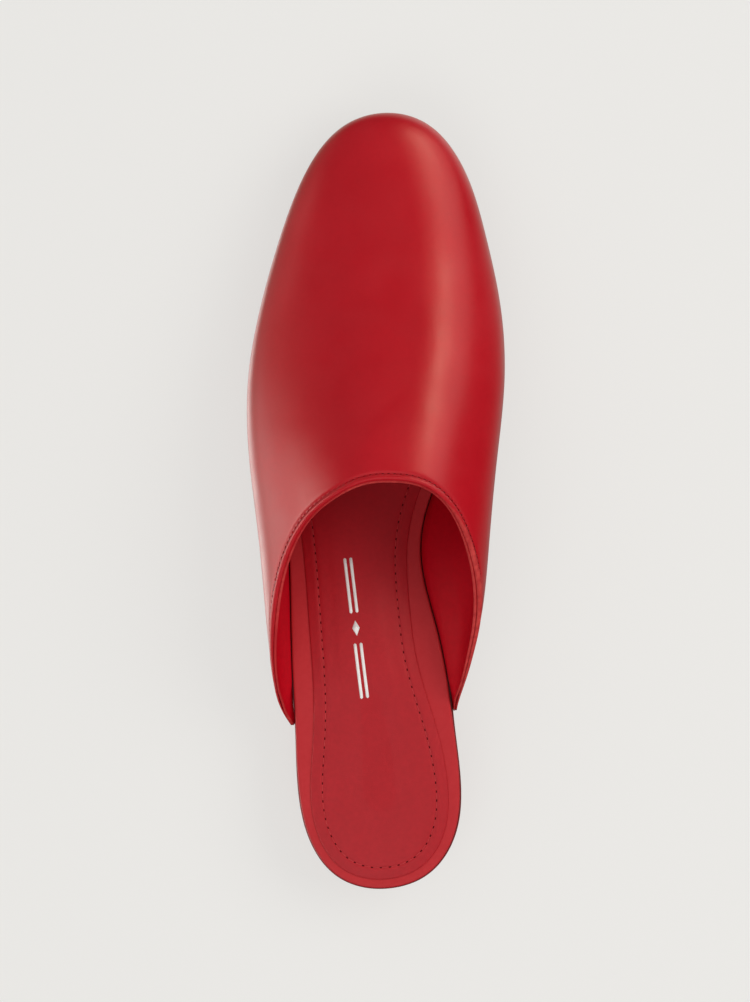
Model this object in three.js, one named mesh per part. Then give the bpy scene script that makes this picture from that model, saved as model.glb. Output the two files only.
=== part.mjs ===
// A woman's closed-toe leather mule for the left foot, standing empty on its sole.
// Five pieces: a one-piece hollow upper, a wrapped footbed, a padded sock, an outsole and a low heel.
// Millimetres. +Y runs to the toe, +X to the inner (big toe) side and +Z up. The floor is z = 0.
import * as THREE from "three";
import { NURBSCurve } from "three/addons/curves/NURBSCurve.js";
import { mergeVertices } from "three/addons/utils/BufferGeometryUtils.js";

// Driving sizes
const shoeLength = 260;
const gap = 0.3; // glue line between pieces
const toeBulge = 6; // how far the toe wall stands out past the footbed's tip
const toeX = 4.1; // the toe and the heel lie a little to the inner side of the middle
const heelX = 1.2;

const soleThickness = 4;
const soleBevel = 0.6; // how much smaller each piece is at one face than at the other
const footbedThickness = 2.6;
const footbedBevel = 0.8;
const sockThickness = 1.3;
const sockBevel = 0.6;
const sockCrown = 0.9; // extra height of the padding along the sock's middle
const heelHeight = 16;
const heelInset = 1.1;
const heelTaper = 1.5;
const breastHollow = 4;
const toeSpring = 8.5;
const flatTo = 75; // the forefoot is flat on the floor between these two places
const flatFrom = 25;
const heelBreast = -64; // front face of the heel

const wall = 2.4; // upper leather and lining together
const wallAtEnds = 1.1; // skived where the sides run into the sole
const crestSetback = 24; // how far behind the toe tip the wall has turned into the top

// Outlines are read every 12 degrees round an oval path, from the toe (0) to the heel (180).
const stationStep = 12;
const facetsAcross = 8; // of each flat piece

// The widest line of the upper, seen from above
const wideLateral = [toeX, -8.1, -18, -25.9, -32.6, -38.7, -42.8, -42.2, -38.8, -36.2, -33, -29];
const wideMedial = [toeX, 15.8, 25.1, 32.2, 37.4, 41.9, 43.2, 40.7, 38.2, 35.2, 29.3, 27];

// The footbed's outline, pinched at the arch on the inner side
const bedLateral = [
  toeX, -7, -15, -21.4, -27.1, -32.2, -35.2, -32.6, -29.4, -28.3, -27.4, -26.7, -24.6, -19.3, -10.6, heelX,
];
const bedMedial = [
  toeX, 14.8, 21.9, 27.6, 32.2, 35.8, 34.9, 22, 14.9, 20.3, 25.2, 28.1, 28.1, 23.2, 14, heelX,
];

// A natural cubic spline through the points (xs, ys)
function spline(xs, ys) {
  const last = xs.length - 1;
  const bend = new Array(last + 1).fill(0);
  const carry = new Array(last + 1).fill(0);
  for (let i = 1; i < last; i++) {
    const share = (xs[i] - xs[i - 1]) / (xs[i + 1] - xs[i - 1]);
    const pivot = share * bend[i - 1] + 2;
    const turn = (ys[i + 1] - ys[i]) / (xs[i + 1] - xs[i]) - (ys[i] - ys[i - 1]) / (xs[i] - xs[i - 1]);
    bend[i] = (share - 1) / pivot;
    carry[i] = ((6 * turn) / (xs[i + 1] - xs[i - 1]) - share * carry[i - 1]) / pivot;
  }
  bend[last] = 0;
  for (let i = last - 1; i >= 0; i--) bend[i] = bend[i] * bend[i + 1] + carry[i];
  return (x) => {
    let i = 0;
    while (i < last - 1 && x > xs[i + 1]) i++;
    const width = xs[i + 1] - xs[i];
    const b = (x - xs[i]) / width;
    const a = 1 - b;
    const curved = (a ** 3 - a) * bend[i] + (b ** 3 - b) * bend[i + 1];
    return a * ys[i] + b * ys[i + 1] + (curved * width ** 2) / 6;
  };
}

const throughStations = (values) => spline(values.map((_, i) => i * stationStep), values);
const smoothStep = (t) => THREE.MathUtils.smoothstep(t, 0, 1);
const lerp = THREE.MathUtils.lerp;

// Heights along the shoe
const soleBottom = (y) => {
  const spring = toeSpring * (Math.max(0, y - flatTo) / (shoeLength / 2 - flatTo)) ** 2;
  return spring + heelHeight * smoothStep((flatFrom - y) / (flatFrom - heelBreast));
};
const soleTop = (y) => soleBottom(y) + soleThickness;
const wallAt = (y) => lerp(wallAtEnds, wall, smoothStep((y + 78) / 45));

// The top line of the upper from the side, and its place across
const crestHeight = spline([-80, -40, -15, 10, 35, 60, 85, 106], [64, 67, 66.2, 61.5, 52.6, 43.4, 36.6, 32.2]);
const crestX = spline([-80, -20, 20, 60, 106], [2, 4, 7, 8, 4.5]);
const crestRound = spline([-80, 10, 60, 130], [0.32, 0.38, 0.46, 0.52]); // small is peaked, large is flat
const crestSlope = (y) => crestHeight(y + 0.5) - crestHeight(y - 0.5);

// For each side: the outlines, the width of the footbed's bare rim round the sock, the height of the widest
// line, how far up to it the wall turns upright, and how far up from it to the crest the wall stays upright
const sides = {
  lateral: {
    wide: throughStations(wideLateral),
    bed: throughStations(bedLateral),
    rim: spline([-130, -100, -78, -45, -20, 120], [3.4, 4.1, 6.3, 6.2, 5, 4]),
    wideHeight: spline([-80, -40, 0, 40, 90, 130], [30, 27, 22, 18.5, 17.5, 20.5]),
    upright: () => 0.35,
    lift: spline([-80, 130], [0.42, 0.46]),
  },
  medial: {
    wide: throughStations(wideMedial),
    bed: throughStations(bedMedial),
    rim: spline([-130, -100, -78, -47, -25, 0, 120], [3.4, 4.1, 5.7, 8.6, 5.3, 4, 4]),
    wideHeight: spline([-80, -40, 0, 40, 90, 130], [34, 35, 31, 22, 18.5, 20.5]),
    upright: spline([-80, -50, -15, 20, 60, 130], [0.35, 0.6, 0.75, 0.55, 0.35, 0.35]),
    lift: spline([-80, 130], [0.5, 0.46]),
  },
};
const sideOf = (angle) => (angle < 0 ? sides.lateral : sides.medial);
const stationY = (middle, half, angle) => middle + half * Math.cos(THREE.MathUtils.degToRad(angle));

// The footbed's outline moved outwards by a distance. A negative angle is on the lateral side.
const bedHalf = (shoeLength - toeBulge) / 2;
const bedY = (angle) => stationY(-toeBulge / 2, bedHalf, angle);
const bedPoint = (angle) => new THREE.Vector2(sideOf(angle).bed(Math.abs(angle)), bedY(angle));
function bedEdge(angle, outwards) {
  const fold = (a) => (a > 180 ? a - 360 : a < -180 ? a + 360 : a);
  const along = bedPoint(fold(angle + 1)).sub(bedPoint(fold(angle - 1))).normalize();
  return bedPoint(angle).add(new THREE.Vector2(-along.y, along.x).multiplyScalar(outwards));
}

// One rib of the last: up from the sole's edge on the lateral side, across the crest and down to the sole's
// edge on the medial side. Depth is how far inside the outer face the rib lies.
function ribOfLast(angle, depth) {
  const wideY = stationY(0, shoeLength / 2, angle);
  const setback = crestSetback * Math.exp(-((angle / 50) ** 2));
  const crestY = wideY - setback;
  const slope = crestSlope(crestY);
  const down = new THREE.Vector3(0, slope, -1).normalize();
  const crest = new THREE.Vector3(crestX(crestY), crestY, crestHeight(crestY)).addScaledVector(down, depth);
  const halfWidth = (sides.medial.wide(angle) - sides.lateral.wide(angle)) / 2;
  const shoulder = crestRound(wideY) * Math.hypot(halfWidth, setback);

  const sidePoints = (signedAngle) => {
    const side = sideOf(signedAngle);
    const wide = new THREE.Vector3(side.wide(angle), wideY, side.wideHeight(wideY));
    const inwards = crest.clone().sub(wide).setZ(0).normalize();
    const foot = bedEdge(signedAngle, wallAt(wideY) + gap - depth);
    const start = new THREE.Vector3(foot.x, foot.y, soleTop(foot.y) + gap);
    wide.addScaledVector(inwards, depth);
    const under = wide.clone().setZ(lerp(start.z, wide.z, side.upright(wideY)));
    const above = wide.clone().setZ(lerp(wide.z, crest.z, side.lift(wideY)));
    const before = crest.clone().addScaledVector(inwards, -shoulder);
    before.z -= slope * inwards.y * shoulder;
    return [start, under, wide, above, before];
  };
  const points = [...sidePoints(-angle), crest, ...sidePoints(angle).reverse()];
  const knots = [0, 0, 0, 0, 1, 2, 3, 4, 5, 6, 7, 8, 8, 8, 8];
  return new NURBSCurve(3, knots, points.map((p) => new THREE.Vector4(p.x, p.y, p.z, 1)));
}

// A closed solid between two grids of points of the same size. The front grid has rows from toe to heel and
// columns from the lateral to the medial side. A row or edge that shrinks to one point is merged. Where
// the first row is folded shut on itself, it is closed at the tip and needs no strip between the faces.
function solidBetween(front, back, closedAtTip = false) {
  const position = [];
  const quad = (a, b, c, d) => {
    for (const p of [a, b, d, b, c, d]) position.push(p.x, p.y, p.z);
  };
  const rows = front.length - 1;
  const columns = front[0].length - 1;
  for (let i = 0; i < rows; i++) {
    for (let j = 0; j < columns; j++) {
      quad(front[i][j], front[i + 1][j], front[i + 1][j + 1], front[i][j + 1]);
      quad(back[i][j], back[i][j + 1], back[i + 1][j + 1], back[i + 1][j]);
    }
    quad(front[i + 1][0], front[i][0], back[i][0], back[i + 1][0]);
    quad(front[i][columns], front[i + 1][columns], back[i + 1][columns], back[i][columns]);
  }
  for (let j = 0; j < columns; j++) {
    quad(front[rows][j + 1], front[rows][j], back[rows][j], back[rows][j + 1]);
    if (!closedAtTip) quad(front[0][j], front[0][j + 1], back[0][j + 1], back[0][j]);
  }
  const loose = new THREE.BufferGeometry();
  loose.setAttribute("position", new THREE.Float32BufferAttribute(position, 3));
  const merged = mergeVertices(loose, 1e-3);
  const index = [];
  for (let i = 0; i < merged.index.count; i += 3) {
    const [a, b, c] = [0, 1, 2].map((k) => merged.index.getX(i + k));
    if (a !== b && b !== c && c !== a) index.push(a, b, c);
  }
  merged.setIndex(index);
  merged.computeVertexNormals();
  return merged;
}

// A grid of points from a function of two shares from 0 to 1: along the shoe and across it
function gridOf(rows, columns, pointAt) {
  return Array.from({ length: rows + 1 }, (_, i) =>
    Array.from({ length: columns + 1 }, (_, j) => pointAt(i / rows, j / columns)),
  );
}

// A face of a flat piece, from one station of the footbed's outline to another. Its distance outside that
// outline and its height are functions of the place.
function faceOf(rows, from, to, outwards, height) {
  return gridOf(rows, facetsAcross, (along, across) => {
    const angle = lerp(from, to, along);
    const lateral = bedEdge(-angle, outwards(bedY(angle), sides.lateral));
    const medial = bedEdge(angle, outwards(bedY(angle), sides.medial));
    const flat = lateral.lerp(medial, across);
    return new THREE.Vector3(flat.x, flat.y, height(flat.y, across, along));
  });
}

// The top line of the upper: where each place across the ribs ends, from the lateral to the medial end
const collarAngle = spline(
  [0, 0.08, 0.16, 0.22, 0.27, 0.32, 0.36, 0.4, 0.5, 0.6, 0.68, 0.76, 0.84, 0.92, 1],
  [124.6, 121, 116, 109, 100.2, 93.1, 89.8, 87.8, 86.5, 87.8, 92.3, 101.2, 110.5, 117.5, 122],
);

function makeUpper() {
  const face = (thickness) =>
    gridOf(36, 40, (along, across) => {
      const angle = along * collarAngle(across);
      return ribOfLast(angle, thickness(stationY(0, shoeLength / 2, angle))).getPoint(across);
    });
  return solidBetween(face(() => 0), face(wallAt), true);
}

function makeFootbed() {
  const seat = (y) => soleTop(y) + gap;
  const top = faceOf(44, 0, 180, () => -footbedBevel, (y) => seat(y) + footbedThickness);
  const bottom = faceOf(44, 0, 180, () => 0, seat);
  return solidBetween(top, bottom);
}

function makeSock() {
  const seat = (y) => soleTop(y) + footbedThickness + 2 * gap;
  const crown = (across, along) => sockCrown * (1 - (2 * across - 1) ** 4) * (1 - (2 * along - 1) ** 8);
  const height = (y, across, along) => seat(y) + sockThickness + crown(across, along);
  const top = faceOf(44, 0, 180, (y, side) => -side.rim(y) - sockBevel, height);
  const bottom = faceOf(44, 0, 180, (y, side) => -side.rim(y), seat);
  return solidBetween(top, bottom);
}

function makeOutsole() {
  const edge = spline([-130, -90, -72, -60, -45, 0, 130], [-0.4, -0.1, 0.1, 1, 1.7, 2.2, 2.2]);
  const top = faceOf(48, 0, 180, edge, soleTop);
  const bottom = faceOf(48, 0, 180, (y) => edge(y) - soleBevel, soleBottom);
  return solidBetween(top, bottom);
}

function makeHeel() {
  const front = THREE.MathUtils.radToDeg(Math.acos((heelBreast + toeBulge / 2) / bedHalf));
  const hollowed = (face) => {
    const last = face.length - 1;
    face.forEach((row, i) =>
      row.forEach((point, j) => {
        const across = j / facetsAcross;
        point.y -= breastHollow * 4 * across * (1 - across) * (1 - i / last) ** 2;
      }),
    );
    return face;
  };
  const top = hollowed(faceOf(18, front, 180, () => -heelInset, (y) => soleBottom(y) - gap));
  const bottom = hollowed(faceOf(18, front, 180, () => -heelInset - heelTaper, () => 0));
  return solidBetween(top, bottom);
}

const redLeather = { color: 0xb40f1e, roughness: 0.42, metalness: 0 };
const pieces = {
  upper: [makeUpper(), redLeather],
  footbed: [makeFootbed(), { ...redLeather, color: 0xb4202c }],
  sock: [makeSock(), { ...redLeather, color: 0xa81f2b, roughness: 0.5 }],
  outsole: [makeOutsole(), { color: 0xb98a5e, roughness: 0.6, metalness: 0 }],
  heel: [makeHeel(), { ...redLeather, color: 0xa01420 }],
};

const group = new THREE.Group();
for (const [name, [geometry, finish]] of Object.entries(pieces)) {
  const mesh = new THREE.Mesh(geometry, new THREE.MeshStandardMaterial(finish));
  mesh.name = name;
  group.add(mesh);
}

// The origin is on the floor, under the middle of the whole shoe
const box = new THREE.Box3().setFromObject(group);
const middle = box.getCenter(new THREE.Vector3());
group.position.set(-middle.x, -middle.y, -box.min.z);

export default group;
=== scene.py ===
from math import atan2, pi

import bmesh
import bpy
import numpy as np
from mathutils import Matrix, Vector
from mathutils.bvhtree import BVHTree


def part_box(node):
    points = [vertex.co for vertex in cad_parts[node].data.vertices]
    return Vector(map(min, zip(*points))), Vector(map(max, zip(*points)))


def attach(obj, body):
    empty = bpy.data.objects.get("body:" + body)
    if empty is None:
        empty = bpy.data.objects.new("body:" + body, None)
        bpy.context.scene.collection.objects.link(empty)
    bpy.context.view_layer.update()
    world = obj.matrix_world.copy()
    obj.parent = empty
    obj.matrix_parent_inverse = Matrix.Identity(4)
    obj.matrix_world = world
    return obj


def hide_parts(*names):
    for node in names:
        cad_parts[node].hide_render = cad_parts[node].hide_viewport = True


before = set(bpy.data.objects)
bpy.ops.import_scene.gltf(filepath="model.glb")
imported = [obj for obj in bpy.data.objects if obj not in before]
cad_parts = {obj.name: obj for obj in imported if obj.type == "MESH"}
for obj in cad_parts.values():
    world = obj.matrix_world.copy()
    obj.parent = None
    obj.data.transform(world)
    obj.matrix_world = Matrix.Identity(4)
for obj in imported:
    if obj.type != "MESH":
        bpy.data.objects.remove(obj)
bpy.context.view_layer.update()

# a left-foot leather mule: +Y to the toe, +X to the inner side, +Z up
# the last is worked out in millimetres and turned to metres when a mesh is made
mm = 0.001

last = {
    "length": 260,
    "gap": 0.3,
    "toeBulge": 6,       # toe wall past the footbed's tip
    "toeX": 4.1,
    "heelX": 1.2,
    "sole": 4,
    "footbed": 2.6,
    "heel": 16,
    "spring": 8.5,
    "flatFrom": 25,      # tread flat on the floor between these
    "flatTo": 75,
    "breast": -64,       # front of the heel
    "wall": 2.4,
    "wallAtEnds": 1.1,
    "wallFullAt": -33,   # the wall is full in front of this and thin behind the next
    "wallThinAt": -78,
    "setback": 24,       # where the toe wall has turned into the top
    "setbackFades": 50,  # degrees round from the toe tip
    "station": 12,       # degrees between outline stations
}

# widest line of the upper and outline of the footbed, from the toe back to the heel
wideLateral = [last["toeX"], -8.1, -18, -25.9, -32.6, -38.7, -42.8, -42.2, -38.8, -36.2, -33, -29]
wideMedial = [last["toeX"], 15.8, 25.1, 32.2, 37.4, 41.9, 43.2, 40.7, 38.2, 35.2, 29.3, 27]
bedLateral = [last["toeX"], -7, -15, -21.4, -27.1, -32.2, -35.2, -32.6,
              -29.4, -28.3, -27.4, -26.7, -24.6, -19.3, -10.6, last["heelX"]]
bedMedial = [last["toeX"], 14.8, 21.9, 27.6, 32.2, 35.8, 34.9, 22,
             14.9, 20.3, 25.2, 28.1, 28.1, 23.2, 14, last["heelX"]]


def cubicThrough(xs, ys):
    # natural cubic spline, works on arrays
    xs = np.array(xs, float)
    ys = np.array(ys, float)
    n = len(xs)
    h = np.diff(xs)
    system = np.eye(n)
    right = np.zeros(n)
    for i in range(1, n - 1):
        system[i, i - 1:i + 2] = h[i - 1], 2 * (h[i - 1] + h[i]), h[i]
        right[i] = 6 * ((ys[i + 1] - ys[i]) / h[i] - (ys[i] - ys[i - 1]) / h[i - 1])
    bend = np.linalg.solve(system, right)

    def at(x):
        x = np.asarray(x, float)
        i = np.clip(np.searchsorted(xs, x) - 1, 0, n - 2)
        b = (x - xs[i]) / h[i]
        a = 1 - b
        curved = (a ** 3 - a) * bend[i] + (b ** 3 - b) * bend[i + 1]
        return a * ys[i] + b * ys[i + 1] + curved * h[i] ** 2 / 6
    return at


def throughStations(values):
    return cubicThrough([i * last["station"] for i in range(len(values))], values)


def smooth(t):
    t = np.clip(t, 0, 1)
    return t * t * (3 - 2 * t)


def mix(a, b, t):
    return a + (b - a) * t


def unit(v):
    return v / np.maximum(np.linalg.norm(v, axis=-1, keepdims=True), 1e-9)


def soleBottom(y):
    run = last["length"] / 2 - last["flatTo"]
    lift = last["spring"] * (np.maximum(0, y - last["flatTo"]) / run) ** 2
    return lift + last["heel"] * smooth((last["flatFrom"] - y) / (last["flatFrom"] - last["breast"]))


def soleTop(y):
    return soleBottom(y) + last["sole"]


def wallAt(y):
    share = (y - last["wallThinAt"]) / (last["wallFullAt"] - last["wallThinAt"])
    return mix(last["wallAtEnds"], last["wall"], smooth(share))


# the crest over the foot, from behind the collar to the toe: its height, its line and how round it is
crestHeight = cubicThrough(
    [-80, -40, -15, 10, 35, 60, 85, 106],
    [64, 67, 66.2, 61.5, 52.6, 43.4, 36.6, 32.2])
crestX = cubicThrough([-80, -20, 20, 60, 106], [2, 4, 7, 8, 4.5])
crestRound = cubicThrough([-80, 10, 60, 130], [0.32, 0.38, 0.46, 0.52])

# each side of the shoe: lines over the angle from the toe, then curves over the distance along the foot
lateral = {
    "wide": throughStations(wideLateral),
    "bed": throughStations(bedLateral),
    "rim": cubicThrough([-130, -100, -78, -45, -20, 120], [3.4, 4.1, 6.3, 6.2, 5, 4]),
    "wideHeight": cubicThrough([-80, -40, 0, 40, 90, 130], [30, 27, 22, 18.5, 17.5, 20.5]),
    "upright": lambda y: 0.35 + 0 * y,       # the same all along
    "lift": cubicThrough([-80, 130], [0.42, 0.46]),
    "sign": -1,
}
medial = {
    "wide": throughStations(wideMedial),
    "bed": throughStations(bedMedial),
    "rim": cubicThrough([-130, -100, -78, -47, -25, 0, 120], [3.4, 4.1, 5.7, 8.6, 5.3, 4, 4]),
    "wideHeight": cubicThrough([-80, -40, 0, 40, 90, 130], [34, 35, 31, 22, 18.5, 20.5]),
    "upright": cubicThrough([-80, -50, -15, 20, 60, 130], [0.35, 0.6, 0.75, 0.55, 0.35, 0.35]),
    "lift": cubicThrough([-80, 130], [0.5, 0.46]),
    "sign": 1,
}

bedHalf = (last["length"] - last["toeBulge"]) / 2


def bedY(angle):
    return -last["toeBulge"] / 2 + bedHalf * np.cos(np.radians(angle))


def bedPoint(signedAngle):
    signedAngle = np.where(signedAngle > 180, signedAngle - 360, signedAngle)
    signedAngle = np.where(signedAngle < -180, signedAngle + 360, signedAngle)
    angle = np.abs(signedAngle)
    x = np.where(signedAngle < 0, lateral["bed"](angle), medial["bed"](angle))
    return np.stack([x, bedY(angle)], -1)


# outline of the footbed moved outwards, where a negative angle is the outer side of the foot
def bedEdge(signedAngle, outwards):
    signedAngle = np.asarray(signedAngle, float)
    along = unit(bedPoint(signedAngle + 1) - bedPoint(signedAngle - 1))
    sideways = np.stack([-along[..., 1], along[..., 0]], -1)
    return bedPoint(signedAngle) + sideways * np.asarray(outwards)[..., None]


def ribControls(angle, depth):
    # the eleven control points of each rib over the last, from outer to inner sole edge
    angle = np.asarray(angle, float)
    depth = np.broadcast_to(np.asarray(depth, float), angle.shape)
    wideY = last["length"] / 2 * np.cos(np.radians(angle))
    setback = last["setback"] * np.exp(-(angle / last["setbackFades"]) ** 2)
    crestY = wideY - setback
    slope = crestHeight(crestY + 0.5) - crestHeight(crestY - 0.5)
    down = unit(np.stack([0 * slope, slope, 0 * slope - 1], -1))
    crest = np.stack([crestX(crestY), crestY, crestHeight(crestY)], -1) + down * depth[..., None]
    halfWidth = (medial["wide"](angle) - lateral["wide"](angle)) / 2
    shoulder = crestRound(wideY) * np.hypot(halfWidth, setback)

    def sidePoints(side):
        wide = np.stack([side["wide"](angle), wideY, side["wideHeight"](wideY)], -1)
        inwards = crest - wide
        inwards[..., 2] = 0
        inwards = unit(inwards)
        foot = bedEdge(side["sign"] * angle, wallAt(wideY) + last["gap"] - depth)
        start = np.concatenate([foot, (soleTop(foot[..., 1]) + last["gap"])[..., None]], -1)
        wide = wide + inwards * depth[..., None]
        under = wide.copy()
        under[..., 2] = mix(start[..., 2], wide[..., 2], side["upright"](wideY))
        above = wide.copy()
        above[..., 2] = mix(wide[..., 2], crest[..., 2], side["lift"](wideY))
        before = crest - inwards * shoulder[..., None]
        before[..., 2] -= slope * inwards[..., 1] * shoulder
        return [start, under, wide, above, before]

    return np.stack([*sidePoints(lateral), crest, *reversed(sidePoints(medial))], -2)


def ribWeights(u):
    # cubic B-spline weights of the eleven control points, in eight spans, at u from 0 to 1
    knots = np.array([0, 0, 0, 0, 1, 2, 3, 4, 5, 6, 7, 8, 8, 8, 8], float)
    t = np.clip(np.asarray(u, float) * 8, 0, 8 - 1e-9)
    weights = [np.where((knots[i] <= t) & (t < knots[i + 1]), 1.0, 0.0) for i in range(14)]
    for degree in (1, 2, 3):
        raised = []
        for i in range(14 - degree):
            total = 0 * t
            if knots[i + degree] > knots[i]:
                total = total + (t - knots[i]) / (knots[i + degree] - knots[i]) * weights[i]
            if knots[i + degree + 1] > knots[i + 1]:
                span = knots[i + degree + 1] - knots[i + 1]
                total = total + (knots[i + degree + 1] - t) / span * weights[i + 1]
            raised.append(total)
        weights = raised
    return np.stack(weights, -1)


# where the collar crosses each line over the foot, in degrees from the toe
collarAngle = cubicThrough(
    [0, 0.08, 0.16, 0.22, 0.27, 0.32, 0.36, 0.4, 0.5, 0.6, 0.68, 0.76, 0.84, 0.92, 1],
    [124.6, 121, 116, 109, 100.2, 93.1, 89.8, 87.8, 86.5, 87.8, 92.3, 101.2, 110.5, 117.5, 122])


def onLast(along, across, inside=0.0):
    # along runs 0 to 1 from toe tip to collar, across 0 to 1 over the top, inside is a share of the wall
    angle = along * collarAngle(across)
    wall = wallAt(last["length"] / 2 * np.cos(np.radians(angle)))
    return np.einsum("...k,...kc->...c", ribWeights(across), ribControls(angle, inside * wall))


def lastNormal(along, across):
    e = 1e-3
    a = np.clip(along, e, 1)
    c = np.clip(across, e, 1 - e)
    back = onLast(a + e, c) - onLast(a - e, c)
    over = onLast(a, c + e) - onLast(a, c - e)
    return unit(np.cross(back, over))


# the CAD model is centred on its box, so the last moves by the same amount
allRound = np.linspace(0, 180, 721)
innerMost = bedEdge(allRound, 0)[:, 0].max()
outerMost = bedEdge(-allRound, 0)[:, 0].min()
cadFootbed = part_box("footbed")
shiftX = (cadFootbed[0].x + cadFootbed[1].x) / 2 - (innerMost + outerMost) / 2 * mm


weld = {"together": 2e-6, "sliver": 1e-7}      # metres


def makeObject(name, verts, faces, materials, faceMaterial=None):
    # points come in millimetres
    mesh = bpy.data.meshes.new(name)
    verts = np.asarray(verts, float) * mm
    verts[:, 0] += shiftX
    mesh.from_pydata(verts.tolist(), [], [tuple(f) for f in faces])
    for m in materials:
        mesh.materials.append(m)
    if faceMaterial is not None:
        mesh.polygons.foreach_set("material_index", faceMaterial)
    work = bmesh.new()
    work.from_mesh(mesh)
    bmesh.ops.remove_doubles(work, verts=work.verts, dist=weld["together"])
    bmesh.ops.dissolve_degenerate(work, edges=work.edges, dist=weld["sliver"])
    work.to_mesh(mesh)
    work.free()
    mesh.polygons.foreach_set("use_smooth", [True] * len(mesh.polygons))
    obj = bpy.data.objects.new(name, mesh)
    bpy.context.collection.objects.link(obj)
    return obj


def closedShell(front, back, foldedStart=False, foldedEnd=False):
    # two grids of one size, front facing out, joined round their borders
    rows, cols = front.shape[:2]
    verts = np.concatenate([front.reshape(-1, 3), back.reshape(-1, 3)])
    n = rows * cols
    ids = np.arange(n).reshape(rows, cols)
    a, b = ids[:-1, :-1].ravel(), ids[1:, :-1].ravel()
    c, d = ids[1:, 1:].ravel(), ids[:-1, 1:].ravel()
    faces = [np.stack([a, b, c, d], 1), np.stack([a, d, c, b], 1) + n]
    left, right = ids[:, 0], ids[:, -1]
    faces.append(np.stack([left[1:], left[:-1], left[:-1] + n, left[1:] + n], 1))
    faces.append(np.stack([right[:-1], right[1:], right[1:] + n, right[:-1] + n], 1))
    if not foldedStart:
        first = ids[0]
        faces.append(np.stack([first[:-1], first[1:], first[1:] + n, first[:-1] + n], 1))
    if not foldedEnd:
        end = ids[-1]
        faces.append(np.stack([end[1:], end[:-1], end[:-1] + n, end[1:] + n], 1))
    return verts, np.concatenate(faces)


def newMaterial(name):
    material = bpy.data.materials.new(name)
    material.use_nodes = True
    tree = material.node_tree
    return material, tree.nodes, tree.links, tree.nodes["Principled BSDF"]


def feed(tree, value, socket):
    # a fixed colour or vector is set on the socket, anything else is linked to it
    if isinstance(value, tuple):
        socket.default_value = (*value, 1)[:len(socket.default_value)]
    else:
        tree.links.new(value, socket)


def ramp(tree, source, low, high, fromValue, toValue, kind="LINEAR"):
    node = tree.nodes.new("ShaderNodeMapRange")
    node.interpolation_type = kind
    node.inputs["From Min"].default_value = low
    node.inputs["From Max"].default_value = high
    node.inputs["To Min"].default_value = fromValue
    node.inputs["To Max"].default_value = toValue
    tree.links.new(source, node.inputs["Value"])
    return node.outputs["Result"]


def blend(tree, factor, first, second):
    node = tree.nodes.new("ShaderNodeMix")
    node.data_type = "RGBA"
    tree.links.new(factor, node.inputs["Factor"])
    feed(tree, first, node.inputs["A"])
    feed(tree, second, node.inputs["B"])
    return node.outputs["Result"]


# what every finish shows, in millimetres, and how far its roughness swings
hide = {"clouds": 28, "mottle": 1.6, "uneven": 9, "waves": 5, "pebbleHeight": 0.05, "waveHeight": 0.12,
        "smoother": 0.03, "rougher": 0.04}


# every finish in the shoe: dyed clouds, a fine mottle, a pebble grain and slow waves
def leather(name, look):
    material, nodes, links, shader = newMaterial(name)
    tree = material.node_tree
    place = nodes.new("ShaderNodeTexCoord").outputs["Object"]

    def noise(size, detail, roughness=0.5):
        node = nodes.new("ShaderNodeTexNoise")
        node.inputs["Scale"].default_value = 1 / (size * mm)
        node.inputs["Detail"].default_value = detail
        node.inputs["Roughness"].default_value = roughness
        links.new(place, node.inputs["Vector"])
        return node.outputs["Fac"]

    # noise stays near its middle, so that stretch of it is spread out
    clouds = ramp(tree, noise(hide["clouds"], 2), 0.35, 0.65, 0, 1)
    mottle = ramp(tree, noise(hide["mottle"], 3), 0.3, 0.7, 0, look["mottle"])
    dyed = blend(tree, clouds, look["colour"], look["second"])
    links.new(blend(tree, mottle, dyed, look["deep"]), shader.inputs["Base Color"])
    smoothest, roughest = look["rough"] - hide["smoother"], look["rough"] + hide["rougher"]
    uneven = ramp(tree, noise(hide["uneven"], 3), 0.3, 0.7, smoothest, roughest)
    links.new(uneven, shader.inputs["Roughness"])

    cells = nodes.new("ShaderNodeTexVoronoi")
    cells.feature = "DISTANCE_TO_EDGE"
    cells.inputs["Scale"].default_value = 1 / (look["grain"] * mm)
    links.new(place, cells.inputs["Vector"])
    pebbles = ramp(tree, cells.outputs["Distance"], 0, 0.25, 0, 1)
    fine = nodes.new("ShaderNodeBump")
    fine.inputs["Strength"].default_value = look["grainDepth"]
    fine.inputs["Distance"].default_value = hide["pebbleHeight"] * mm
    links.new(pebbles, fine.inputs["Height"])
    soft = nodes.new("ShaderNodeBump")
    soft.inputs["Strength"].default_value = look["waveDepth"]
    soft.inputs["Distance"].default_value = hide["waveHeight"] * mm
    links.new(noise(hide["waves"], 4, 0.55), soft.inputs["Height"])
    links.new(fine.outputs["Normal"], soft.inputs["Normal"])
    links.new(soft.outputs["Normal"], shader.inputs["Normal"])
    shader.inputs["Specular IOR Level"].default_value = look["shine"]
    return material


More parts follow.
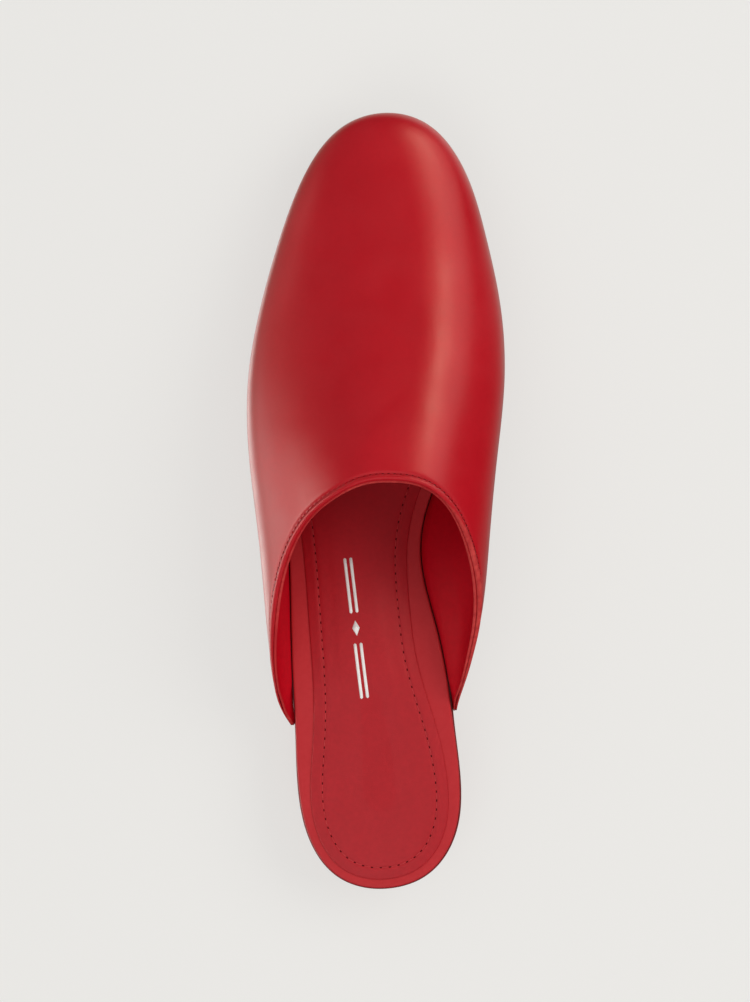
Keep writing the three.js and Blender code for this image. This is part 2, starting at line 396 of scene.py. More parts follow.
# colours are linear; grain is the size of a pebble in millimetres
calf = leather("redCalf", {
    "colour": (0.50, 0.0020, 0.0105), "second": (0.465, 0.0015, 0.0090),
    "deep": (0.38, 0.0010, 0.0065),
    "mottle": 0.22, "rough": 0.31, "grain": 0.42, "grainDepth": 0.10, "waveDepth": 0.12, "shine": 0.5})
liningLeather = leather("liningLeather", {
    "colour": (0.53, 0.0010, 0.0105), "second": (0.50, 0.0008, 0.0095),
    "deep": (0.33, 0.0006, 0.0055),
    "mottle": 0.3, "rough": 0.55, "grain": 0.5, "grainDepth": 0.10, "waveDepth": 0.15, "shine": 0.22})
rimLeather = leather("rimLeather", {
    "colour": (0.52, 0.028, 0.034), "second": (0.49, 0.024, 0.030), "deep": (0.42, 0.010, 0.014),
    "mottle": 0.25, "rough": 0.46, "grain": 0.42, "grainDepth": 0.10, "waveDepth": 0.12, "shine": 0.24})
sockLeather = leather("sockLeather", {
    "colour": (0.465, 0.0065, 0.0140), "second": (0.435, 0.0055, 0.0125), "deep": (0.34, 0.004, 0.009),
    "mottle": 0.4, "rough": 0.5, "grain": 0.45, "grainDepth": 0.3, "waveDepth": 0.18, "shine": 0.5})
soleTan = leather("soleTan", {
    "colour": (0.50, 0.29, 0.14), "second": (0.44, 0.24, 0.11), "deep": (0.32, 0.16, 0.07),
    "mottle": 0.4, "rough": 0.5, "grain": 0.6, "grainDepth": 0.12, "waveDepth": 0.2, "shine": 0.5})
edgeStain = leather("edgeStain", {
    "colour": (0.20, 0.003, 0.006), "second": (0.17, 0.002, 0.005), "deep": (0.11, 0.001, 0.003),
    "mottle": 0.3, "rough": 0.42, "grain": 0.6, "grainDepth": 0.08, "waveDepth": 0.1, "shine": 0.5})
rawEdge = leather("rawEdge", {
    "colour": (0.60, 0.060, 0.053), "second": (0.48, 0.022, 0.024), "deep": (0.36, 0.010, 0.015),
    "mottle": 0.75, "rough": 0.75, "grain": 0.3, "grainDepth": 0.5, "waveDepth": 0.4, "shine": 0.3})
collarThreadRed = leather("collarThreadRed", {
    "colour": (0.42, 0.004, 0.012), "second": (0.39, 0.003, 0.010), "deep": (0.26, 0.001, 0.005),
    "mottle": 0.3, "rough": 0.5, "grain": 0.2, "grainDepth": 0.3, "waveDepth": 0.1, "shine": 0.4})
sockThreadRed = leather("sockThreadRed", {
    "colour": (0.56, 0.045, 0.05), "second": (0.52, 0.038, 0.044), "deep": (0.40, 0.015, 0.02),
    "mottle": 0.3, "rough": 0.5, "grain": 0.2, "grainDepth": 0.3, "waveDepth": 0.1, "shine": 0.4})
# needle holes: a near-black finish, painted shade for the hollow of each hole
needleHole = leather("needleHole", {
    "colour": (0.075, 0.0004, 0.002), "second": (0.06, 0.0003, 0.001), "deep": (0.04, 0.0002, 0.001),
    "mottle": 0.3, "rough": 0.8, "grain": 0.3, "grainDepth": 0.1, "waveDepth": 0.1, "shine": 0.1})
whiteFoil = leather("whiteFoil", {
    "colour": (0.95, 0.94, 0.92), "second": (0.92, 0.91, 0.89), "deep": (0.82, 0.76, 0.74),
    "mottle": 0.2, "rough": 0.4, "grain": 0.38, "grainDepth": 0.2, "waveDepth": 0.1, "shine": 0.5})
topPieceRubber = leather("topPieceRubber", {
    "colour": (0.055, 0.012, 0.012), "second": (0.045, 0.010, 0.010), "deep": (0.03, 0.006, 0.006),
    "mottle": 0.4, "rough": 0.6, "grain": 0.9, "grainDepth": 0.25, "waveDepth": 0.2, "shine": 0.4})
print("materials ready")


upperShape = {
    "rows": 130,
    "cols": 180,
    "edgeZone": 6.0,      # the last stretch before the collar follows the edge's own profile
    "edgeOwn": 1.5,       # closer than this it stands free of the last
    "edgeEase": 2.5,      # and it lies down on it over this
    "skin": 0.5,          # share of the wall that is outer leather
    "glue": 0.02,         # share between the two leathers
    "skinEnd": 0.5,       # their hidden faces stop this far from the edge
    "liningEnd": 0.92,
    "surface": -0.5,      # deeper than this a point lies by its share of the wall
    "skinUnder": 0.01,    # the hidden face of the outer leather goes a hair deeper than its share
    "rowsApart": 0.001,   # so that no two of its rows meet
    "lipHalf": 0.3,       # the lining sticks out past the edge this far across from the middle
    "lipFade": 0.2,
    "cutWide": 1.5,       # raw cut of the outer leather, from this share across
    "cutFrom": 0.62,
    "cutFade": 0.1,
    "seamIn": 2.2,        # collar stitches from the edge
    "ditch": -0.36,       # how deep they lie
    "pitch": 2.0,
    "bedGap": 0.35,       # from the lining to the footbed's edge
    "fillUp": 7,          # the lining fills in towards the footbed over this height
    "fillBack": (-72, 12),        # where that starts, and over how far it grows
    "fillFront": (40, 15),
}

# distance from the edge and height over the outer face where the wall is full: the seam's ditch, then
# the turned edge
edgeProfile = [
    (6.0, 0), (4.7, 0), (3.7, 0), (3.2, -0.03), (2.85, -0.12), (2.55, -0.27),
    (upperShape["seamIn"], upperShape["ditch"]), (1.95, -0.27), (1.75, -0.08), (1.5, 0.12), (1.2, 0.25),
    (0.9, 0.26), (0.6, 0.17), (0.34, -0.02), (0.14, -0.28), (0.03, -0.55), (0.0, -0.8), (0.06, -1.0),
    (0.22, -1.14), (0.5, -1.2)]
# the lining is trimmed a little past the turned edge, so its raw cut shows
liningProfile = [
    (0.9, -1.24), (0.4, -1.27), (0.1, -1.34), (-0.14, -1.42), (-0.32, -1.47), (-0.43, -1.56),
    (-0.48, -1.72), (-0.46, -1.92), (-0.38, -2.1), (-0.2, -2.24), (0.1, -2.33), (0.6, -2.38),
    (1.3, -2.4), (2.2, -2.4), (3.4, -2.4), (4.8, -2.4), (6.0, -2.4)]
rawFrom, rawTo = 2, 11       # stretch of the lining's profile that is a raw cut

across = np.linspace(0, 1, upperShape["cols"] + 1)
collarPoint = onLast(1 + 0 * across, across)
collarInner = onLast(1 + 0 * across, across, 1.0)
collarNormal = lastNormal(1 + 0 * across, across)
collarRun = unit(np.gradient(collarPoint, axis=0))
collarOut = unit(np.cross(collarNormal, collarRun))
step = 0.01
backwards = (collarPoint - onLast(1 - step + 0 * across, across)) / step
collarOut *= np.sign((collarOut * backwards).sum(-1))[:, None]
lipShare = smooth((upperShape["lipHalf"] - np.abs(across - 0.5)) / upperShape["lipFade"])
reach = (collarOut * backwards).sum(-1)          # millimetres for the whole run of "along"
throughWall = unit(collarInner - collarPoint)
wallThere = np.linalg.norm(collarInner - collarPoint, axis=-1)


def collarStrip(profile):
    rows = []
    scale = wallThere / last["wall"]
    for distance, height in profile:
        distance = distance if distance > 0 else distance * lipShare
        share = smooth((distance - upperShape["edgeOwn"]) / upperShape["edgeEase"])
        down = throughWall * (-height * scale)[:, None]
        free = collarPoint - collarOut * np.reshape(distance, (-1, 1)) + down
        depth = -height / last["wall"] if height < upperShape["surface"] else 0.0
        along = 1 - distance / reach
        seated = onLast(along, across, depth)
        if depth == 0:
            seated = seated + lastNormal(along, across) * height
        rows.append(mix(free, seated, np.reshape(share, (-1, 1))))
    return np.array(rows)


def face(inside, profile):
    # rows over the last from the toe tip to the edge zone, then the collar's own strips
    stop = 1 - upperShape["edgeZone"] / reach
    shares = np.linspace(0, 1, upperShape["rows"] + 1)[:-1]
    overLast = np.array([onLast(s * stop, across, inside) for s in shares])
    return np.concatenate([overLast, collarStrip(profile)])


# soft troughs and ridges pressed into the calf: middle, half sizes, turn in degrees, height
softForms = [
    {"at": (-2, 58), "size": (15, 17), "turn": 10, "height": -0.45},
    {"at": (21, 56), "size": (6, 11), "turn": 6, "height": 0.30},
    {"at": (-14, 92), "size": (12, 9), "turn": -20, "height": -0.25},
    {"at": (10, 100), "size": (13, 8), "turn": 8, "height": 0.20},
    {"at": (-24, 22), "size": (9, 20), "turn": -8, "height": 0.22},
    {"at": (4, 31), "size": (24, 4.5), "turn": 4, "height": -0.14},
    {"at": (6, 24), "size": (22, 3.5), "turn": 2, "height": 0.12},
    {"at": (30, 30), "size": (5, 16), "turn": 12, "height": -0.22},
]
uprightFrom, uprightOver = 0.15, 0.4      # how far up the leather faces where the forms start to show


def pressed(grid):
    # moves the outer face along its normal by the soft forms, but not where it stands upright
    along = np.gradient(grid, axis=0)
    over = np.gradient(grid, axis=1)
    normal = unit(np.cross(along, over))
    total = 0
    for form in softForms:
        turn = np.radians(form["turn"])
        x, y = grid[..., 0] - form["at"][0], grid[..., 1] - form["at"][1]
        u = (x * np.cos(turn) + y * np.sin(turn)) / form["size"][0]
        v = (y * np.cos(turn) - x * np.sin(turn)) / form["size"][1]
        total = total + form["height"] * np.exp(-(u * u + v * v) / 2)
    lying = smooth((normal[..., 2] - uprightFrom) / uprightOver)
    return grid + normal * (total * lying)[..., None]


def filled(grid):
    # lasted leather leaves no trench beside the footbed: the lining runs in to its edge
    (back, backFade), (front, frontFade) = upperShape["fillBack"], upperShape["fillFront"]
    turn = np.linspace(20, 175, 156)         # degrees round the footbed's outline
    x, y, z = np.moveaxis(grid, -1, 0)
    innerEdge = np.interp(-y, -bedY(turn), bedPoint(turn)[:, 0]) + upperShape["bedGap"]
    outerEdge = np.interp(-y, -bedY(turn), bedPoint(-turn)[:, 0]) - upperShape["bedGap"]
    above = z - soleTop(y) - last["footbed"]
    share = np.clip(1 - above / upperShape["fillUp"], 0, 1) ** 2
    share = share * smooth((y - back) / backFade) * smooth((front - y) / frontFade)
    return np.stack([mix(x, np.where(x > 0, innerEdge, outerEdge), share), y, z], -1)


outerFace = pressed(face(0.0, edgeProfile))
skinDepth = -upperShape["skin"] * last["wall"] - upperShape["skinUnder"]
skinBack = face(upperShape["skin"], [
    (max(distance, upperShape["skinEnd"] + upperShape["rowsApart"] * i), skinDepth)
    for i, (distance, _) in enumerate(edgeProfile)])
verts, faces = closedShell(outerFace, skinBack, foldedStart=True)
# on the inner side the whole thickness of the edge is a raw cut
cutTo = upperShape["cutWide"] * smooth((across[:-1] - upperShape["cutFrom"]) / upperShape["cutFade"])
stripStart = np.array([distance for distance, _ in edgeProfile[:-1]])
beforeStrips = np.zeros((upperShape["rows"], upperShape["cols"]), bool)
isCut = np.concatenate([beforeStrips, stripStart[:, None] <= cutTo])
skinMaterial = np.zeros(len(faces), int)
skinMaterial[:isCut.size] = isCut.ravel()
upperSkin = makeObject("upperSkin", verts, faces, [calf, rawEdge], skinMaterial)

liningRows = liningProfile[::-1]
innerFace = filled(face(1.0, liningRows))
liningDepth = upperShape["skin"] + upperShape["glue"]
liningBack = face(liningDepth, [
    (max(distance, upperShape["liningEnd"]), -liningDepth * last["wall"]) for distance, _ in liningRows])
verts, faces = closedShell(liningBack, innerFace, foldedStart=True)
quads = (innerFace.shape[0] - 1) * upperShape["cols"]
rowOf = np.arange(quads) // upperShape["cols"] - upperShape["rows"]
isRaw = (rowOf >= len(liningRows) - 1 - rawTo) & (rowOf < len(liningRows) - 1 - rawFrom)
liningMaterial = np.zeros(len(faces), int)
liningMaterial[quads:2 * quads] = isRaw
upperLining = makeObject("upperLining", verts, faces, [liningLeather, rawEdge], liningMaterial)
print("upper and lining ready")


# the footbed steps in behind stepFrom, so the sole's edge shows round the heel
footbedShape = {"stations": 220, "flat": 10, "stepIn": 0.4, "stepFrom": -55, "stepOver": 20}
# distance inside the outline and height over the sole, for the leather wrapped round the board
wrapProfile = [
    (0.9, 0.0), (0.45, 0.03), (0.15, 0.2), (0.0, 0.5), (0.0, 1.0), (0.01, 1.6), (0.05, 2.0),
    (0.16, 2.28), (0.34, 2.46), (0.6, 2.56), (1.0, 2.6), (1.9, 2.6), (2.8, 2.6), (3.4, 2.58)]


def flatProfile(start, step, likeProfile):
    # a level underside with as many points as the profile over it
    return [(start + step * i, 0.0) for i in range(len(likeProfile))]


def platform(shape, profile, baseHeight, insetOf, domeOf=None):
    # a face that hugs an outline with the same section all round, and runs straight across inside it
    angles = np.linspace(0, 180, shape["stations"] + 1)
    y = bedY(angles)

    def sideRows(side):
        columns = []
        for distance, height in profile:
            edge = bedEdge(side["sign"] * angles, -(insetOf(y, side) + distance))
            columns.append(np.concatenate([edge, (baseHeight(edge[:, 1]) + height)[:, None]], -1))
        return np.array(columns).transpose(1, 0, 2)

    outer, inner = sideRows(lateral), sideRows(medial)
    start, end = outer[:, -1], inner[:, -1]
    middle = []
    for s in np.linspace(0, 1, shape["flat"] + 2)[1:-1]:
        row = mix(start, end, s)
        row[:, 2] = baseHeight(row[:, 1]) + profile[-1][1]
        if domeOf is not None:
            row[:, 2] += domeOf(s, angles / 180)
        middle.append(row)
    return np.concatenate([outer, np.array(middle).transpose(1, 0, 2), inner[:, ::-1]], 1)


def slab(name, shape, topProfile, underProfile, seat, insetOf, materials, domeOf=None, edgeCount=0):
    # a closed platform whose first edgeCount strips of the underside take the second material
    top = platform(shape, topProfile, seat, insetOf, domeOf)
    under = platform(shape, underProfile, seat, insetOf)
    verts, faces = closedShell(top, under, foldedStart=True, foldedEnd=True)
    columns = top.shape[1] - 1
    column = np.arange(len(faces)) % columns
    quads = shape["stations"] * columns
    faceMaterial = np.zeros(len(faces), int)
    if edgeCount:
        isEdge = (column < edgeCount) | (column >= columns - edgeCount)
        faceMaterial[:] = 1
        faceMaterial[quads:2 * quads] = isEdge[quads:2 * quads]
    return makeObject(name, verts, faces, materials, faceMaterial), top


def bedSeat(y):
    return soleTop(y) + last["gap"]


def footbedInset(y, side):
    return footbedShape["stepIn"] * smooth((footbedShape["stepFrom"] - y) / footbedShape["stepOver"])


footbedWrap, _ = slab(
    "footbedWrap", footbedShape, wrapProfile, flatProfile(0.9, 0.01, wrapProfile),
    bedSeat, footbedInset, [rimLeather])


sockShape = {"stations": 260, "flat": 14, "seamIn": 4.0, "ditch": 0.94, "pitch": 3.0, "glue": 0.02,
             "dome": 0.55, "domeEase": 0.45}
# skived to a thin edge, with the seam's ditch on its slope
sockProfile = [
    (0.0, 0.0), (0.0, 0.16), (0.05, 0.30), (0.2, 0.40), (0.5, 0.48), (1.0, 0.58), (1.7, 0.74), (2.5, 0.92),
    (3.1, 1.02), (3.5, 1.03), (3.8, 0.97), (sockShape["seamIn"], sockShape["ditch"]), (4.2, 0.98),
    (4.5, 1.10), (5.2, 1.24), (6.4, 1.38), (7.8, 1.46)]


def sockSeat(y):
    return bedSeat(y) + last["footbed"] + sockShape["glue"]


def rimWidth(y, side):
    return side["rim"](y)


def sockDome(across, along):
    # both run 0 to 1, and the padding dies away towards the toe and the heel
    return sockShape["dome"] * (1 - (2 * across - 1) ** 4) * smooth(
        (1 - np.abs(2 * along - 1)) / sockShape["domeEase"])


sockPad, sockTop = slab(
    "sockPad", sockShape, sockProfile, flatProfile(0.0, 0.02, sockProfile),
    sockSeat, rimWidth, [sockLeather], sockDome)
print("footbed and sock ready")


# a white foil mark pressed on the sock: two thin rules with a lozenge between them
foilShape = {
    "from": (-9.5, -19), "to": (-3.5, -66),
    "ruleWidth": 1.0, "apart": 2.0, "ruleSteps": 15,
    "point": 0.05, "pointRun": 0.4,              # the rules end in short points
    "lozenge": (2.6, 1.25), "lozengeSteps": 9, "clear": 5.0,
    "thick": 0.03, "sunk": 0.02,                 # over and under the face of the sock
}


def foilStrips():
    start, end = np.array(foilShape["from"], float), np.array(foilShape["to"], float)
    length = np.linalg.norm(end - start)
    ahead = (end - start) / length
    beside = np.array([-ahead[1], ahead[0]])
    half, clear = length / 2, foilShape["clear"]

    def strip(run, widths, offset):
        return [(start + ahead * r + beside * (offset - w), start + ahead * r + beside * (offset + w))
                for r, w in zip(run, widths)]

    long, wide = foilShape["lozenge"]
    around = np.linspace(-1, 1, foilShape["lozengeSteps"])
    yield strip(half + long * around, wide * (1 - np.abs(around)), 0)
    for first, second in ((0, half - clear), (half + clear, length)):
        run = np.linspace(first, second, foilShape["ruleSteps"])
        widths = np.full(len(run), foilShape["ruleWidth"] / 2)
        widths[[0, -1]] = foilShape["point"]
        run[[1, -2]] = first + foilShape["pointRun"], second - foilShape["pointRun"]
        for offset in (-foilShape["apart"] / 2, foilShape["apart"] / 2):
            yield strip(run, widths, offset)


sockIds = np.arange(sockTop[..., 0].size).reshape(sockTop.shape[:2])
sockQuads = np.stack([sockIds[:-1, :-1], sockIds[1:, :-1], sockIds[1:, 1:], sockIds[:-1, 1:]], -1)
sockTree = BVHTree.FromPolygons(sockTop.reshape(-1, 3).tolist(), sockQuads.reshape(-1, 4).tolist())
wellAbove = 100       # millimetres, where the rays down to the sock start
verts, faces = [], []
for strip in foilStrips():
    first = len(verts)
    for left, right in strip:
        for x, y in (left, right):
            surface = sockTree.ray_cast(Vector((x, y, wellAbove)), Vector((0, 0, -1)))[0].z
            verts += [(x, y, surface + foilShape["thick"]), (x, y, surface - foilShape["sunk"])]
    # four points at each step: top and low on the left, then on the right
    final = len(verts) - 4
    for i in range(first, final, 4):
        topLeft, lowLeft, topRight, lowRight = range(i, i + 4)
        faces += [
            (topLeft, topRight, topRight + 4, topLeft + 4),
            (lowLeft, lowLeft + 4, lowRight + 4, lowRight),
            (topLeft, topLeft + 4, lowLeft + 4, lowLeft),
            (topRight, lowRight, lowRight + 4, topRight + 4)]
    faces += [(first, first + 1, first + 3, first + 2), (final, final + 2, final + 3, final + 1)]
foilMark = makeObject("foilMark", verts, faces, [whiteFoil])
print("foil mark ready")


# what both rows of stitches share: a thread swells over the leather and thins into its holes, each hole a
# near-black disc of painted shade
stitchShape = {
    "steps": 9, "sides": 8,
    "swell": 0.9, "thins": 0.35,       # shares of its radius
    "lookAhead": 0.2,                  # millimetres, to find which way the row runs
    "holeSides": 12,
    # each hole is a dark disc of painted shade, a hair over the leather and sunk only at its rim
    "holeRings": [(1.0, -0.15), (1.0, 0.02), (0.8, 0.04), (0.3, 0.03)],      # share of the size, height
}


def tube(faces, base, count, size):
    # faces round rings that lie one after the other, closed at both ends
    for i in range(base, base + (count - 1) * size, size):
        for j in range(size):
            k = (j + 1) % size
            faces.append((i + j, i + k, i + size + k, i + size + j))
    faces.append(tuple(base + j for j in reversed(range(size))))
    faces.append(tuple(base + (count - 1) * size + j for j in range(size)))


# thread lengths that dip into a needle hole at each end, along a path in millimetres
def stitchRow(name, path, normals, look, threadMaterial):
    steps = np.linalg.norm(np.diff(path, axis=0), axis=1)
    run = np.concatenate([[0], np.cumsum(steps)])
    pitch, radius = look["pitch"], look["radius"]
    count = int(run[-1] // pitch)
    threadVerts, threadFaces, holeVerts, holeFaces = [], [], [], []
    sides, holeSides, holeRings = stitchShape["sides"], stitchShape["holeSides"], stitchShape["holeRings"]
    spine = np.linspace(-1, 1, stitchShape["steps"])
    longHalf, shortHalf = look["hole"]
    lean = np.radians(look["holeTurn"])

    def along(values, distance):
        return np.array([np.interp(distance, run, values[:, i]) for i in range(3)])

    def at(distance):
        p = along(path, distance)
        n = unit(along(normals, distance))
        ahead = unit(along(path, distance + stitchShape["lookAhead"]) - p)
        return p, n, ahead, np.cross(n, ahead)

    for k in range(count):
        middle = (k + 0.5) * pitch + (run[-1] - count * pitch) / 2
        beside = at(middle)[3]
        base = len(threadVerts)
        for s in spine:
            p, n, _, _ = at(middle + s * look["length"] / 2)
            rise = radius * stitchShape["swell"] * (1 - s ** 4) - look["sink"]
            core = p + n * rise + beside * look["slant"] * s
            thick = radius * (1 - stitchShape["thins"] * s ** 4)
            for j in range(sides):
                turn = 2 * pi * j / sides
                threadVerts.append(core + thick * (np.cos(turn) * beside + np.sin(turn) * n))
        tube(threadFaces, base, len(spine), sides)

        p, n, ahead, beside = at(middle + pitch / 2)
        longWay = ahead * np.cos(lean) + beside * np.sin(lean)
        shortWay = beside * np.cos(lean) - ahead * np.sin(lean)
        base = len(holeVerts)
        for size, rise in holeRings:
            for j in range(holeSides):
                turn = 2 * pi * j / holeSides
                flat = np.cos(turn) * longHalf * longWay + np.sin(turn) * shortHalf * shortWay
                holeVerts.append(p + size * flat + n * rise)
        tube(holeFaces, base, len(holeRings), holeSides)
    return (makeObject(name + "Thread", threadVerts, threadFaces, [threadMaterial]),
            makeObject(name + "Holes", holeVerts, holeFaces, [needleHole]))


# holes are half sizes along and beside the row, holeTurn is in degrees; each hole is a disc of painted
# shade
collarSeam = {
    "pitch": upperShape["pitch"], "length": 1.25, "radius": 0.19, "sink": 0.02, "slant": 0.16,
    "hole": (0.6, 0.25), "holeTurn": 32}
collarLine = collarStrip([(upperShape["seamIn"], upperShape["ditch"])])[0]
collarStitches = stitchRow("collar", collarLine, collarNormal, collarSeam, collarThreadRed)

sockSeam = {
    "pitch": sockShape["pitch"], "length": 2.3, "radius": 0.13, "sink": 0.05, "slant": 0.03,
    "hole": (0.45, 0.41), "holeTurn": 0,
    "from": 3, "to": 177, "steps": 350}      # degrees from the toe, on each side
toHeel = -np.linspace(sockSeam["from"], sockSeam["to"], sockSeam["steps"])
toToe = np.linspace(sockSeam["to"], sockSeam["from"], sockSeam["steps"])
sockLine = []
for angle in np.concatenate([toHeel, toToe]):
    side = lateral if angle < 0 else medial
    x, y = bedEdge(angle, -(side["rim"](bedY(abs(angle))) + sockShape["seamIn"]))
    sockLine.append([x, y, sockSeat(y) + sockShape["ditch"]])
sockLine = np.array(sockLine)
upwards = np.tile([0.0, 0.0, 1.0], (len(sockLine), 1))
sockStitches = stitchRow("sock", sockLine, upwards, sockSeam, sockThreadRed)
print("stitches ready")


soleShape = {"stations": 200, "flat": 12, "stainedStrips": 6}
soleEdgeOut = cubicThrough([-130, -90, -72, -60, -45, 0, 130], [0, 0, 0.1, 1, 1.7, 2.2, 2.2])
# distance in from the edge and height under the sole's top
soleSide = [
    (0.3, 0.0), (0.05, -0.15), (0.0, -0.45), (0.02, -1.6), (0.1, -2.8), (0.3, -3.4), (0.6, -3.75),
    (1.1, -3.94), (1.8, -4.0)]


def soleInset(y, side):
    return -soleEdgeOut(y)


outsole, _ = slab(
    "outsoleLeather", soleShape, flatProfile(0.3, 0.05, soleSide), soleSide,
    soleTop, soleInset, [soleTan, edgeStain], edgeCount=soleShape["stainedStrips"])


heelShape = {
    "inset": 1.1, "taper": 1.5, "waist": 0.35, "hollow": 4,
    "topPiece": 3, "groove": 0.18, "grooveHalf": 0.1, "grooveLip": 0.25,
    "firstRing": 1.5, "rings": 9, "sideSteps": 70, "breastSteps": 24,
    "bevel": 0.5, "bevelOver": 0.9,       # radians between faces
}


def heelBlock():
    # rings from the floor up, each from one breast corner round the back to the other, then over the breast
    top = soleBottom(np.array(float(last["breast"]))) - last["gap"]
    corner = np.degrees(np.arccos((last["breast"] + last["toeBulge"] / 2) / bedHalf))
    outer = -np.linspace(corner, 180, heelShape["sideSteps"])
    inner = np.linspace(180, corner, heelShape["sideSteps"])[1:]
    sideAngles = np.concatenate([outer, inner])
    line, half, lip = heelShape["topPiece"], heelShape["grooveHalf"], heelShape["grooveLip"]
    block = np.linspace(line + heelShape["firstRing"], top, heelShape["rings"])
    levels = [0, line - lip, line - half, line + half, line + lip, *block]
    rings = []
    for i, z in enumerate(levels):
        rise = z / top
        inset = heelShape["inset"] + heelShape["taper"] * (1 - rise)
        inset += heelShape["waist"] * np.sin(pi * rise)
        if i in (2, 3):       # the groove between heel and top piece
            inset += heelShape["groove"]
        sides = bedEdge(sideAngles, np.full(len(sideAngles), -inset))
        share = np.linspace(0, 1, heelShape["breastSteps"] + 2)[1:-1, None]
        breast = mix(sides[-1], sides[0], share)
        breast[:, 1] -= heelShape["hollow"] * 4 * (share * (1 - share))[:, 0]      # deepest in the middle
        ring = np.concatenate([sides, breast])
        rings.append(np.concatenate([ring, np.full((len(ring), 1), z)], 1))
    n = len(rings[0])
    faces, faceMaterial = [tuple(range(n))], [1]
    for i in range(len(levels) - 1):
        for j in range(n):
            k = (j + 1) % n
            faces.append((i * n + k, i * n + j, (i + 1) * n + j, (i + 1) * n + k))
            faceMaterial.append(int(i < 2))       # rubber up to the groove
    faces.append(tuple(reversed(range((len(levels) - 1) * n, len(levels) * n))))
    faceMaterial.append(0)
    return makeObject("heelBlock", np.concatenate(rings), faces, [calf, topPieceRubber], faceMaterial)


heel = heelBlock()
rounding = heel.modifiers.new("rounding", "BEVEL")
rounding.width = heelShape["bevel"] * mm
rounding.segments = 3
rounding.limit_method = "ANGLE"
rounding.angle_limit = heelShape["bevelOver"]
print("sole and heel ready")


for piece, node, slotName in (
        (upperSkin, "upper", "red_leather"), (upperLining, "upper", "sock_leather"),
        (footbedWrap, "footbed", "red_leather"), (sockPad, "sock", "sock_leather"),
        (outsole, "outsole", "sole_leather"), (heel, "heel", "red_leather")):
    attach(piece, "root")
    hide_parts(node)
for piece in (*collarStitches, *sockStitches, foilMark):
    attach(piece, "root")
print("pieces joined to the shoe")


floorLook = {
    "half": 3,                # metres
    "colour": (0.20, 0.198, 0.191), "rough": 0.85, "shine": 0.2,
    "tint": (1, 0.99, 0.965), "glow": 0.63,
}
floorMesh = bpy.data.meshes.new("floor")
half = floorLook["half"]
corners = [(-half, -half, 0), (half, -half, 0), (half, half, 0), (-half, half, 0)]
floorMesh.from_pydata(corners, [], [(0, 1, 2, 3)])
floor = bpy.data.objects.new("floor", floorMesh)
bpy.context.collection.objects.link(floor)
floorMaterial, _, _, shader = newMaterial("paleFloor")
shader.inputs["Base Color"].default_value = (*floorLook["colour"], 1)
shader.inputs["Roughness"].default_value = floorLook["rough"]
shader.inputs["Specular IOR Level"].default_value = floorLook["shine"]
shader.inputs["Emission Color"].default_value = (*floorLook["tint"], 1)
shader.inputs["Emission Strength"].default_value = floorLook["glow"]
floorMesh.materials.append(floorMaterial)
floor.visible_glossy = False      # the shoe is lit by the studio alone, not by the floor
floor.visible_diffuse = False


# soft lamps that leave no shine: place in metres, then watts
lampLook = {"size": (1.0, 0.8), "aim": (0, 0, 0.03), "colour": (1, 0.965, 0.93)}
lamps = {
    "innerLamp": ((0.89, 0.24, 0.92), 7.6),
    "toeLamp": ((-0.49, 0.85, 0.69), 0.7),
    "heelLamp": ((-0.2, -0.67, 1.05), 3.9),
}
for name, (place, power) in lamps.items():
    data = bpy.data.lights.new(name, "AREA")
    data.shape = "RECTANGLE"
    data.size, data.size_y = lampLook["size"]
    data.energy = power
    data.color = lampLook["colour"]
    lamp = bpy.data.objects.new(name, data)
    lamp.location = place
    lamp.rotation_euler = (Vector(lampLook["aim"]) - Vector(place)).to_track_quat("-Z", "Y").to_euler()
    lamp.visible_glossy = False
    bpy.context.collection.objects.link(lamp)


# the studio round the shoe: an even dome gives the soft light, and pale cards show only in the shine
studio = {
    "dome": 0.465, "under": 0.15, "horizon": (-0.25, 0.1),
    "dim": (0.02, 0.02, 0.02), "backdrop": (0.83, 0.822, 0.805),
}
# each card is a soft patch: azimuth, elevation, full to the third angle, gone by the fourth, and its light
cards = {
    "outerWall": (198, 0, 8, 40, (3.6, 3.45, 3.2)),
    "outerWallSpill": (166, -16, 14, 62, (0.58, 0.53, 0.43)),
    "outerWallFoot": (186, -56, 4, 22, (2.3, 2.2, 2.1)),
    "outerWallTop": (175, 24, 3, 16, (5.0, 4.8, 4.2)),
    "softBox": (58, 41, 3, 16, (2.8, 2.4, 1.75)),
    "softBoxLamp": (63, 46, 2, 10, (5.2, 4.2, 3.0)),
    "softBoxGlow": (42, 36, 5, 26, (1.85, 1.64, 1.4)),
    "overSock": (270, 86, 4, 32, (0.55, 0.52, 0.5)),
    "lowInnerToe": (72, -40, 14, 62, (1.0, 0.9, 0.8)),
    "lowInnerSide": (54, -16, 8, 40, (0.9, 0.86, 0.81)),
    "lowInnerHeel": (339, -32, 3, 16, (1.3, 1.2, 1.0)),
}
world = bpy.data.worlds.new("studio")
world.use_nodes = True
tree = world.node_tree
nodes, links = tree.nodes, tree.links
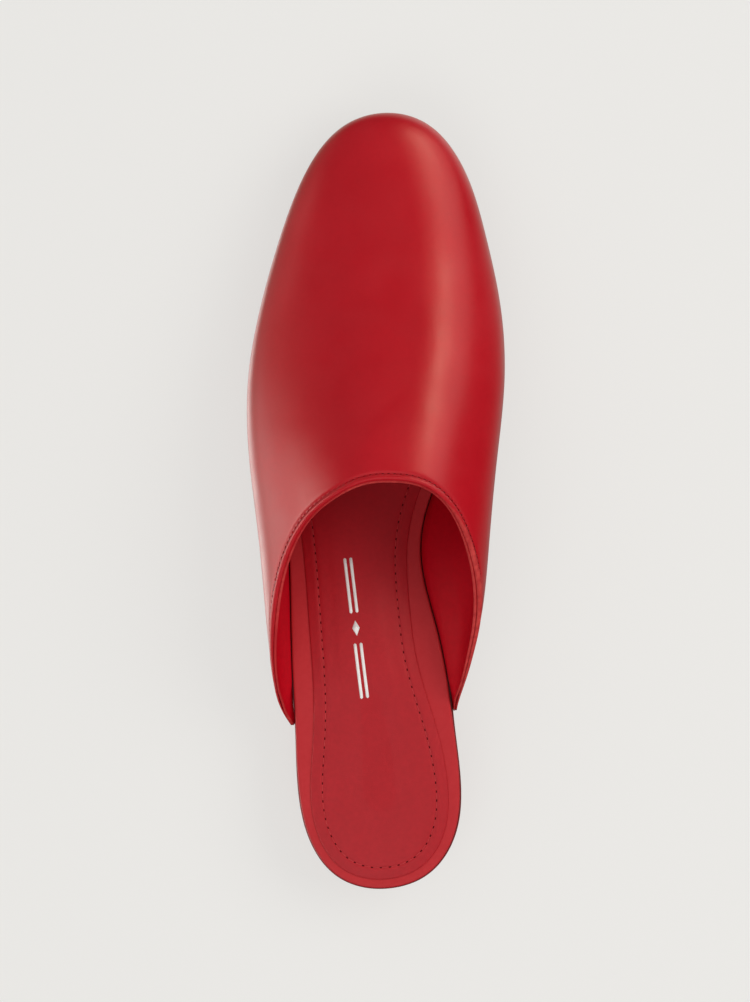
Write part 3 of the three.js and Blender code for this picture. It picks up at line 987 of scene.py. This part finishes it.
direction = nodes.new("ShaderNodeTexCoord").outputs["Generated"]
lightPath = nodes.new("ShaderNodeLightPath").outputs
axes = nodes.new("ShaderNodeSeparateXYZ")
links.new(direction, axes.inputs["Vector"])
dome = ramp(tree, axes.outputs["Z"], *studio["horizon"], studio["under"], studio["dome"], "SMOOTHSTEP")
shine = studio["dim"]
for azimuth, elevation, fullTo, goneBy, light in cards.values():
    azimuth, elevation = np.radians(azimuth), np.radians(elevation)
    edge, core = np.cos(np.radians(goneBy)), np.cos(np.radians(fullTo))
    facing = nodes.new("ShaderNodeVectorMath")
    facing.operation = "DOT_PRODUCT"
    facing.inputs[1].default_value = (
        np.cos(elevation) * np.cos(azimuth), np.cos(elevation) * np.sin(azimuth), np.sin(elevation))
    links.new(direction, facing.inputs[0])
    withCard = nodes.new("ShaderNodeVectorMath")
    withCard.operation = "MULTIPLY_ADD"
    links.new(ramp(tree, facing.outputs["Value"], edge, core, 0, 1, "SMOOTHSTEP"), withCard.inputs[0])
    withCard.inputs[1].default_value = light
    feed(tree, shine, withCard.inputs[2])
    shine = withCard.outputs["Vector"]
onTheShoe = blend(tree, lightPath["Is Glossy Ray"], dome, shine)
seen = blend(tree, lightPath["Is Camera Ray"], onTheShoe, studio["backdrop"])
links.new(seen, nodes["Background"].inputs["Color"])
bpy.context.scene.world = world
bpy.context.scene.view_settings.view_transform = "Standard"
print("studio ready")


# from straight above, a little to the inner side; tall is the height of the frame at the aim, in metres
view = {"aside": 0.05, "height": 1.9, "aim": 0.03, "tall": 0.3338, "sensor": 24}
cameraData = bpy.data.cameras.new("camera")
cameraData.sensor_fit = "VERTICAL"
cameraData.sensor_height = view["sensor"]
cameraData.lens = view["sensor"] * (view["height"] - view["aim"]) / view["tall"]
camera = bpy.data.objects.new("camera", cameraData)
camera.location = (view["aside"], 0, view["height"])
camera.rotation_euler = (0, atan2(view["aside"], view["height"] - view["aim"]), 0)
bpy.context.collection.objects.link(camera)
bpy.context.scene.camera = camera
